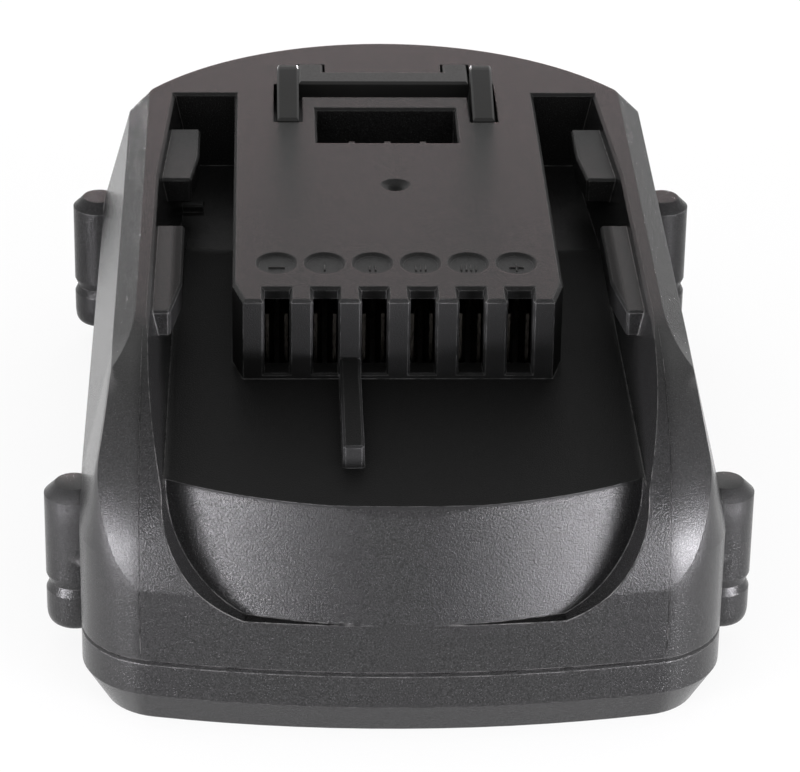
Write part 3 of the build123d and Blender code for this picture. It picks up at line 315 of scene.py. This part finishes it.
def housingPlastic(name, values):
    # Grained plastic: fine noise stands for the eroded mould face. Scattered specks are paler, and
    # so are the edges, where the softened normal turns away from the face's own: their paler colour
    # is partly rubbed wear and partly a painted highlight along the edges:
    # edgeWearAndSheen = fade(1 - softened . own) * (1 - nose) * rub * wear
    finish = Finish(name)
    place = finish.placeMm()
    x, y, z = finish.axes(place)
    fromMiddle = x.math("ABSOLUTE")
    sideFade = values["noseSideFadeMm"]
    corner = finish.above(fromMiddle, values["noseInsideMm"], sideFade)
    corner *= finish.below(y, values["noseBackMm"], values["noseBackFadeMm"])
    nose = corner * finish.within(z, values["noseFootMm"], values["noseTopMm"], sideFade)
    extraMm = nose * (values["noseEdgeMm"] - values["edgeMm"])
    soft = finish.softEdges(extraMm * mm + values["edgeMm"] * mm)
    face = finish.node("ShaderNodeNewGeometry", output="Normal")
    facing = {"operation": "DOT_PRODUCT"}
    along = finish.node("ShaderNodeVectorMath", facing, {0: soft, 1: face}, "Value")
    edge = finish.fade(1 - along, *values["edgeTurn"]) * (1 - nose)
    grain = finish.noise(place, values["grainPerMm"], values["grainDetail"], values["grainShare"])
    cloud = finish.noise(place, values["cloudPerMm"], values["cloudDetail"])
    speck = finish.fade(finish.cells(place, values["speckPerMm"]), *values["speckReach"], 1, 0)
    rub = finish.noise(place, values["rubPerMm"], values["rubDetail"])
    edgeWearAndSheen = edge * finish.fade(rub, *values["rubBand"]) * values["wear"]
    grey = values["grey"]
    warmth = values["warmth"]
    mottled = finish.blend(finish.fade(grain, *noiseBand), shade(grey / values["mottle"], warmth),
                           shade(grey * values["mottle"], warmth))
    toned = finish.blend(speck * (values["speckBase"] + cloud), mottled,
                         shade(values["speckGrey"], warmth))
    # Edges turn paler: partly rubbed wear, partly a painted highlight
    colour = finish.blend(edgeWearAndSheen, toned, shade(values["wearGrey"], values["wearWarmth"]))
    rough = finish.fade(grain, *values["roughnessBand"],
                        values["roughness"] - values["roughnessSpread"],
                        values["roughness"] + values["roughnessSpread"])
    normal = finish.bump(grain + speck * values["speckRise"], values["grainDepthMm"], soft)
    finish.finishWith(BaseColor=colour, Roughness=rough, Normal=normal,
                      SpecularIORLevel=values["specular"], CoatWeight=corner * values["polish"],
                      CoatRoughness=values["polishRoughness"])
    # The tray floor, its inner walls and the terminal block's front mix into a darker shader with
    # weaker reflections: painted shade of the recess
    trayShadeMask = finish.within(z, values["trayFloorMm"], values["trayTopMm"], values["trayFloorFadeMm"])
    trayShadeMask *= finish.below(fromMiddle, values["trayHalfMm"], values["traySideFadeMm"])
    trayShadeMask *= finish.below(y, values["trayRearMm"], values["trayRearFadeMm"])
    trayShadeColour = finish.blend(edgeWearAndSheen, shade(values["trayGrey"]), shade(values["wearGrey"]))
    trayShade = finish.node("ShaderNodeBsdfPrincipled", None,
                       {"Base Color": trayShadeColour, "Roughness": values["trayRoughness"],
                        "Specular IOR Level": values["traySpecular"], "Normal": normal})
    return finish.mixIn(trayShadeMask, trayShade)


smoothFinish = {"ripplePerMm": 3.5, "cloudPerMm": 0.15, "toneSpread": 0.2, "roughnessSpread": 0.05}


def smoothPlastic(name, grey, roughness, warmth=0.0, depthMm=0.008, edgeMm=0.25, specular=0.4):
    # Plain moulded plastic: a low ripple and a faint change of tone
    values = smoothFinish
    finish = Finish(name)
    place = finish.placeMm()
    ripple = finish.noise(place, values["ripplePerMm"])
    cloud = finish.noise(place, values["cloudPerMm"])
    spread = values["toneSpread"]
    colour = finish.blend(cloud, shade(grey * (1 - spread), warmth),
                          shade(grey * (1 + spread), warmth))
    rough = finish.fade(ripple, *noiseBand, roughness - values["roughnessSpread"],
                        roughness + values["roughnessSpread"])
    normal = finish.bump(ripple, depthMm, finish.softEdges(edgeMm * mm))
    return finish.finishWith(BaseColor=colour, Roughness=rough, Normal=normal,
                             SpecularIORLevel=specular)


# Finishes of the inside

brushFinish = {
    "linesPerMm": 6,
    "linesDetail": 3,
    "linesShare": 0.6,
    "patchesPerMm": 0.5,
    "patchesDetail": 3,
    "patchBand": (0.45, 0.7),
    "tarnish": 0.25,
    "tarnishShare": 0.55,
    "roughnessSpread": (-0.06, 0.1),
    "depthMm": 0.006,
}


def brushedMetal(name, colour, roughness, along):
    # Metal with fine lines along one axis, and duller patches
    values = brushFinish
    finish = Finish(name)
    place = finish.placeMm()
    lines = finish.noise(finish.stretched(place, along), values["linesPerMm"],
                         values["linesDetail"], values["linesShare"])
    patches = finish.noise(place, values["patchesPerMm"], values["patchesDetail"])
    trayShade = finish.fade(patches, *values["patchBand"], 0, values["tarnish"])
    tarnished = [part * values["tarnishShare"] for part in colour]
    toned = finish.blend(trayShade, (*colour, 1), (*tarnished, 1))
    rough = finish.fade(lines, *noiseBand,
                        *[roughness + part for part in values["roughnessSpread"]])
    return finish.finishWith(BaseColor=toned, Roughness=rough, Metallic=1.0,
                             Normal=finish.bump(lines, values["depthMm"]))


cellFinish = {
    "sleeve": (0.02, 0.16, 0.26, 1),
    "paleSleeve": (0.03, 0.24, 0.39, 1),
    "tonesPerMm": 0.12,
    "ring": (0.75, 0.75, 0.72, 1),
    "halfLengthMm": 32.5,
    "ringMm": 0.5,
    "wrinkleReachMm": (0.5, 4.0),
    "wrinkleRest": 0.1,  # share of the wrinkles' height that is left in the middle of the cell
    "wrinklesPerMm": 1.5,
    "wrinkleStretch": (0.6, 2, 2),
    "wrinkleDetail": 3,
    "wrinkleDepthMm": 0.12,
    "finePerMm": 3,
    "fineShare": 0.05,
    "faceMm": 0.02,
    "sleeveRoughness": 0.28,
    "ringRoughness": 0.4,
}


def cellSleeve(name, values):
    # Shrunk sleeve round a steel can: wrinkles near both ends, and bare metal on the end faces
    finish = Finish(name)
    place = finish.placeMm()
    x, y, z = finish.axes(place)
    fromEnd = values["halfLengthMm"] - x.math("ABSOLUTE")
    metal = finish.fade(fromEnd, values["faceMm"], values["ringMm"], 1, 0)
    shrunk = finish.fade(fromEnd, *values["wrinkleReachMm"], 1, values["wrinkleRest"])
    folds = finish.noise(finish.stretched(place, values["wrinkleStretch"]), values["wrinklesPerMm"],
                         values["wrinkleDetail"])
    height = folds * shrunk + finish.noise(place, values["finePerMm"]) * values["fineShare"]
    tone = finish.blend(finish.noise(place, values["tonesPerMm"]), values["sleeve"],
                        values["paleSleeve"])
    colour = finish.blend(metal, tone, values["ring"])
    rough = finish.fade(metal, *noiseBand, values["sleeveRoughness"], values["ringRoughness"])
    return finish.finishWith(BaseColor=colour, Roughness=rough, Metallic=metal,
                             Normal=finish.bump(height, values["wrinkleDepthMm"]))


boardFinish = {
    "mask": (0.006, 0.07, 0.03, 1),
    "trace": (0.012, 0.13, 0.05, 1),
    "edge": (0.35, 0.30, 0.14, 1),
    "tracesPerMm": 0.45,
    "tracesPerBlock": 9.0,
    "traceBand": (0.35, 0.5),
    "traceDepthMm": 0.035,
    "topMm": 25.8,
    "bottomMm": 24.2,
    "lacquerMm": 0.12,  # how far the lacquer reaches over the edge
    "lacquerFadeMm": 0.03,
    "lacquerRoughness": 0.25,
    "edgeRoughness": 0.7,
}


def boardLacquer(name, values):
    # Green lacquer over copper traces, which stand a little higher, and bare laminate on the edges
    finish = Finish(name)
    place = finish.placeMm()
    x, y, z = finish.axes(place)
    blocks = finish.cells(finish.stretched(place, (1, 1, 0)), values["tracesPerMm"], "MANHATTAN")
    stripes = (blocks * values["tracesPerBlock"]).math("PINGPONG", 1.0)
    trace = finish.fade(stripes, *values["traceBand"])
    laminate = finish.within(z, values["bottomMm"] + values["lacquerMm"],
                             values["topMm"] - values["lacquerMm"], values["lacquerFadeMm"])
    lacquer = finish.blend(trace, values["mask"], values["trace"])
    colour = finish.blend(laminate, lacquer, values["edge"])
    rough = finish.fade(laminate, 0, 1, values["lacquerRoughness"], values["edgeRoughness"])
    return finish.finishWith(BaseColor=colour, Roughness=rough,
                             Normal=finish.bump(trace, values["traceDepthMm"]))


paperFinish = {
    "fibresPerMm": 2.5,
    "fibreStretch": (1, 0.35, 1.6),
    "fibreDetail": 4,
    "fibreShare": 0.7,
    "hollow": (0.10, 0.14, 0.11, 1),
    "fibre": (0.22, 0.27, 0.20, 1),
    "roughness": 0.85,
    "depthMm": 0.04,
}


def fibrePaper(name, values):
    # Insulating paper: grey-green fibres in a felt
    finish = Finish(name)
    place = finish.placeMm()
    fibres = finish.noise(finish.stretched(place, values["fibreStretch"]), values["fibresPerMm"],
                          values["fibreDetail"], values["fibreShare"])
    colour = finish.blend(fibres, values["hollow"], values["fibre"])
    return finish.finishWith(BaseColor=colour, Roughness=values["roughness"],
                             Normal=finish.bump(fibres, values["depthMm"]))


foamFinish = {
    "coarsePerMm": 1.6,
    "finePerMm": 3.7,
    "fineShare": 0.4,
    "hollow": (0.012, 0.012, 0.013, 1),
    "rim": (0.06, 0.06, 0.062, 1),
    "roughness": 0.95,
    "depthMm": 0.25,
}


def cellFoam(name, values):
    # Soft foam: open bubbles of two sizes
    finish = Finish(name)
    place = finish.placeMm()
    bubbles = finish.cells(place, values["coarsePerMm"])
    bubbles += finish.cells(place, values["finePerMm"]) * values["fineShare"]
    colour = finish.blend(bubbles, values["hollow"], values["rim"])
    return finish.finishWith(BaseColor=colour, Roughness=values["roughness"],
                             Normal=finish.bump(bubbles, values["depthMm"]))


fuseFinish = {
    "centreMm": 8.0,
    "bodyHalfMm": 2.1,
    "seamMm": 0.05,
    "grainPerMm": 6,
    "grainDetail": 3,
    "hollow": (0.62, 0.61, 0.57, 1),
    "ceramic": (0.78, 0.77, 0.74, 1),
    "cap": (0.72, 0.72, 0.70, 1),
    "roughness": (0.3, 0.5),
    "capRise": 0.5,
    "depthMm": 0.05,
}


def cappedCeramic(name, values):
    # White ceramic body between two tinned caps
    finish = Finish(name)
    place = finish.placeMm()
    x, y, z = finish.axes(place)
    fromMiddle = (x - values["centreMm"]).math("ABSOLUTE")
    cap = finish.above(fromMiddle, values["bodyHalfMm"], values["seamMm"])
    grain = finish.noise(place, values["grainPerMm"], values["grainDetail"])
    ceramic = finish.blend(grain, values["hollow"], values["ceramic"])
    colour = finish.blend(cap, ceramic, values["cap"])
    rough = finish.fade(grain, *noiseBand, *values["roughness"])
    return finish.finishWith(BaseColor=colour, Roughness=rough, Metallic=cap,
                             Normal=finish.bump(grain + cap * values["capRise"], values["depthMm"]))


beadFinish = {
    "leadFromMm": 18.2,
    "leadFadeMm": 0.5,
    "ripplePerMm": 2.5,
    "hollow": (0.01, 0.012, 0.02, 1),
    "resin": (0.02, 0.025, 0.045, 1),
    "lead": (0.75, 0.74, 0.72, 1),
    "roughness": (0.18, 0.32),
    "depthMm": 0.05,
}


def dippedBead(name, values):
    # Dark resin drop, and tinned leads above it
    finish = Finish(name)
    place = finish.placeMm()
    x, y, z = finish.axes(place)
    lead = finish.fade(z, values["leadFromMm"], values["leadFromMm"] + values["leadFadeMm"])
    ripple = finish.noise(place, values["ripplePerMm"])
    resin = finish.blend(ripple, values["hollow"], values["resin"])
    colour = finish.blend(lead, resin, values["lead"])
    rough = finish.fade(ripple, *noiseBand, *values["roughness"])
    return finish.finishWith(BaseColor=colour, Roughness=rough, Metallic=lead,
                             Normal=finish.bump(ripple, values["depthMm"]))


turnedFinish = {
    "colour": (0.10, 0.10, 0.11, 1),
    "rubbed": (0.62, 0.61, 0.58, 1),
    "ringsPerMm": 2.5,
    "ringStretch": (0.4, 0.4, 5),
    "rubPerMm": 2.2,
    "rubDetail": 4,
    "rubShare": 0.65,
    "rubBand": (0.5, 0.7),
    "roughnessBand": (0.35, 0.7),
    "roughness": (0.42, 0.28),
    "depthMm": 0.03,
    "edgeMm": 0.12,
}


def turnedSteel(name, values):
    # Plated steel with fine turning rings and rubbed high spots
    finish = Finish(name)
    place = finish.placeMm()
    rings = finish.noise(finish.stretched(place, values["ringStretch"]), values["ringsPerMm"])
    rub = finish.noise(place, values["rubPerMm"], values["rubDetail"], values["rubShare"])
    toned = finish.blend(finish.fade(rub, *values["rubBand"]), values["colour"], values["rubbed"])
    rough = finish.fade(rub, *values["roughnessBand"], *values["roughness"])
    soft = finish.softEdges(values["edgeMm"] * mm)
    return finish.finishWith(BaseColor=toned, Roughness=rough, Metallic=1.0,
                             Normal=finish.bump(rings * 0.5 + rub * 0.5, values["depthMm"], soft))


finishes = {
    "housing": housingPlastic("housingPlastic", housingFinish),
    "latch_plastic": smoothPlastic("latchPlastic", 0.015, 0.34, 0.02, specular=0.2),
    "button_plastic": smoothPlastic("buttonPlastic", 0.016, 0.40, 0.0, 0.012, specular=0.25),
    "inner_plastic": smoothPlastic("innerPlastic", 0.045, 0.5, 0.0, 0.012),
    "carrier_plastic": smoothPlastic("carrierPlastic", 0.03, 0.42, 0.0, 0.008),
    "screw_steel": turnedSteel("screwSteel", turnedFinish),
    "spring_steel": brushedMetal("springSteel", (0.50, 0.49, 0.47), 0.3, (4, 1, 1)),
    "nickel": brushedMetal("nickelStrip", (0.66, 0.62, 0.55), 0.3, (1, 0.12, 3)),
    # The contacts are very dark: partly tarnish, partly painted shade of the deep slots they sit in
    "contact_metal": brushedMetal("contactMetal", (0.10, 0.09, 0.08), 0.3, (1, 3, 0.2)),
    "cell_wrap": cellSleeve("cellSleeve", cellFinish),
    "insulation": fibrePaper("fibrePaper", paperFinish),
    "board": boardLacquer("boardLacquer", boardFinish),
    "chip_plastic": smoothPlastic("chipResin", 0.016, 0.55, 0.0, 0.02, 0.08),
    "fuse_ceramic": cappedCeramic("cappedCeramic", fuseFinish),
    "sensor_bead": dippedBead("dippedBead", beadFinish),
    "foam": cellFoam("cellFoam", foamFinish),
}
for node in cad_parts.values():
    for place in node.material_slots:
        place.material = finishes[place.material.name]
print("finishes:", len(finishes))


# Small raised details of the upper housing

def addPiece(name, vertices, faces, body, material):
    mesh = bpy.data.meshes.new(name)
    mesh.from_pydata(vertices.tolist(), [], faces)
    mesh.validate()
    made = bpy.data.objects.new(name, mesh)
    scene.collection.objects.link(made)
    mesh.materials.append(material)
    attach(made, body)
    return made


def tubeFaces(rings, sides):
    # Quads between neighbouring rings of a closed section, and one polygon over each end
    ring = np.arange(rings - 1)[:, None] * sides
    side = np.arange(sides)[None, :]
    after = (side + 1) % sides
    quads = np.stack([ring + side, ring + after, ring + after + sides, ring + side + sides], -1)
    last = (rings - 1) * sides
    ends = [list(range(sides))[::-1], list(range(last, last + sides))]
    return quads.reshape(-1, 4).tolist() + ends


mouldLine = {
    "offsetMm": 30.6,  # distance of each line from the middle of the pack
    "widthMm": 0.16,
    "heightMm": 0.05,
    "sinkMm": 0.05,
    "points": 90,
    "fromMm": 9.6,  # just above the joint between the housings
    "frontMm": -62.5,
    "bowMm": 150.0,
    # corners of the curve that the nose follows: setback from the front wall, and height
    "noseMm": ((0, 18.4), (2.0, 30.0), (7.0, 39.8), (30.0, 39.8)),
    "reach": 0.93,  # share of that curve that the line follows
}


def mouldLines(values):
    # The front follows a bow of radius R about (0, front + R). Up to the nose's foot the wall
    # stands straight, and above it setback and height follow a cubic curve of four corners:
    # (1 - t)^3 a + 3 (1 - t)^2 t b + 3 (1 - t) t^2 c + t^3 d.
    # At offset x the wall lies at y = front + R - sqrt((R - setback)^2 - x^2).
    parts = []
    first, second, third, last = np.array(values["noseMm"])
    for side in (-1, 1):
        x = side * values["offsetMm"]
        straight = np.linspace(values["fromMm"], first[1], values["points"] // 3)
        t = np.linspace(0, values["reach"], values["points"])[1:, None]
        curve = ((1 - t)**3 * first + 3 * (1 - t)**2 * t * second
                 + 3 * (1 - t) * t**2 * third + t**3 * last)
        setback = np.concatenate([straight * 0, curve[:, 0]])
        height = np.concatenate([straight, curve[:, 1]])
        bow = values["bowMm"]
        y = values["frontMm"] + bow - np.sqrt((bow - setback) ** 2 - x * x)
        path = np.stack([np.full_like(y, x), y, height], 1)
        along = np.gradient(path, axis=0)
        along /= np.linalg.norm(along, axis=1, keepdims=True)
        across = np.tile([1.0, 0, 0], (len(y), 1))
        out = np.cross(across, along)
        out /= np.linalg.norm(out, axis=1, keepdims=True)
        out *= np.sign(-out[:, 1:2] + out[:, 2:3])
        half = values["widthMm"] / 2
        section = [(-half, -values["sinkMm"]), (0, values["heightMm"]), (half, -values["sinkMm"])]
        rings = np.stack([path + across * a + out * b for a, b in section], 1)
        parts.append(rings)
    return parts


def addMouldLines(values):
    vertices = []
    faces = []
    for rings in mouldLines(values):
        start = sum(len(part) for part in vertices)
        vertices.append(rings.reshape(-1, 3) * mm)
        faces += [[start + corner for corner in face] for face in tubeFaces(*rings.shape[:2])]
    made = addPiece("mouldLines", np.concatenate(vertices), faces, "pack",
                    finishes["housing"])
    made.data.shade_smooth()


discMarks = {
    "centresMm": (-14.7, -8.82, -2.94, 2.94, 8.82, 14.7),
    "placeMm": -16.25,
    "floorMm": 39.45,
    "riseMm": 0.14,
    "sinkMm": 0.05,
    "strokeMm": 0.3,
    # half the width of a stroke at its foot and at its top, as a share of strokeMm
    "footHalf": 0.5,
    "topHalf": 0.25,
    # strokes of each mark, from x, y to x, y about the disc's middle: minus, one to four bars, plus
    "strokes": (
        ((-0.9, -0.6, 0.9, -0.6),),
        ((0, -1.3, 0, 0),),
        ((-0.35, -1.3, -0.35, 0), (0.35, -1.3, 0.35, 0)),
        ((-0.6, -1.3, -0.6, 0), (0, -1.3, 0, 0), (0.6, -1.3, 0.6, 0)),
        ((-0.9, -1.3, -0.9, 0), (-0.3, -1.3, -0.3, 0), (0.3, -1.3, 0.3, 0), (0.9, -1.3, 0.9, 0)),
        ((-0.8, -0.6, 0.8, -0.6), (0, -1.4, 0, 0.2)),
    ),
}


def addDiscMarks(values):
    # Each stroke is a low ridge. corner = end +- along * width +- across * width, where the width
    # is strokeMm times a share that is smaller for the top than for the foot.
    ends = np.array([(x + a, values["placeMm"] + b, x + c, values["placeMm"] + d)
                     for x, marks in zip(values["centresMm"], values["strokes"])
                     for a, b, c, d in marks])
    start, end = ends[:, :2], ends[:, 2:]
    along = (end - start) / np.linalg.norm(end - start, axis=1, keepdims=True)
    across = np.stack([-along[:, 1], along[:, 0]], 1)
    rings = []
    for height, half in ((values["floorMm"] - values["sinkMm"], values["footHalf"]),
                         (values["floorMm"] + values["riseMm"], values["topHalf"])):
        width = values["strokeMm"] * half
        ring = [start - along * width - across * width, end + along * width - across * width,
                end + along * width + across * width, start - along * width + across * width]
        rings += [np.column_stack([corner, np.full(len(ends), height)]) for corner in ring]
    vertices = np.stack(rings, 1).reshape(-1, 3) * mm
    block = np.array([[3, 2, 1, 0], [4, 5, 6, 7], [0, 1, 5, 4],
                      [1, 2, 6, 5], [2, 3, 7, 6], [3, 0, 4, 7]])
    faces = (block[None] + 8 * np.arange(len(ends))[:, None, None]).reshape(-1, 4)
    addPiece("discMarks", vertices, faces.tolist(), "pack", finishes["housing"])


placeCamera(cameraView)
placePanels(studio)


def addFloor(values):
    # Pale floor. Camera and mirror rays see it partly as plain white, so it keeps the pack's shadow
    half = values["floorHalf"]
    height = values["floorHeightMm"] * mm
    mesh = bpy.data.meshes.new("studioFloor")
    mesh.from_pydata([(-half, -half, height), (half, -half, height), (half, half, height),
                      (-half, half, height)], [], [(0, 1, 2, 3)])
    floor = bpy.data.objects.new("studioFloor", mesh)
    scene.collection.objects.link(floor)
    finish = Finish("studioFloor")
    seen = seenDirectly(finish)
    finish.finishWith(BaseColor=values["floorGrey"], Roughness=values["floorRoughness"])
    glow = finish.node("ShaderNodeEmission", None, {"Color": (1, 1, 1, 1), "Strength": 1.0})
    mesh.materials.append(finish.mixIn(seen * values["floorGlow"], glow))


def seenDirectly(finish):
    # 1 for camera, mirror and see-through rays
    rays = finish.node("ShaderNodeLightPath").socket.node.outputs
    seen = Num(finish, rays["Is Camera Ray"]).math("MAXIMUM", Num(finish, rays["Is Glossy Ray"]))
    return seen.math("MAXIMUM", Num(finish, rays["Is Transmission Ray"]))


def addWorld(values):
    # White where it is seen, and a dimmer grey as ambient light
    world = bpy.data.worlds.new("studioWorld")
    scene.world = world
    world.use_nodes = True
    finish = Finish("studioWorld", world.node_tree)
    colour = finish.blend(seenDirectly(finish), (values["ambient"],) * 3 + (1,), (1, 1, 1, 1))
    finish.join(world.node_tree.nodes["Background"], "Color", colour)


addMouldLines(mouldLine)
addDiscMarks(discMarks)
addFloor(studio)
addWorld(studio)
print("details, floor and world placed")

scene.view_settings.view_transform = "Standard"
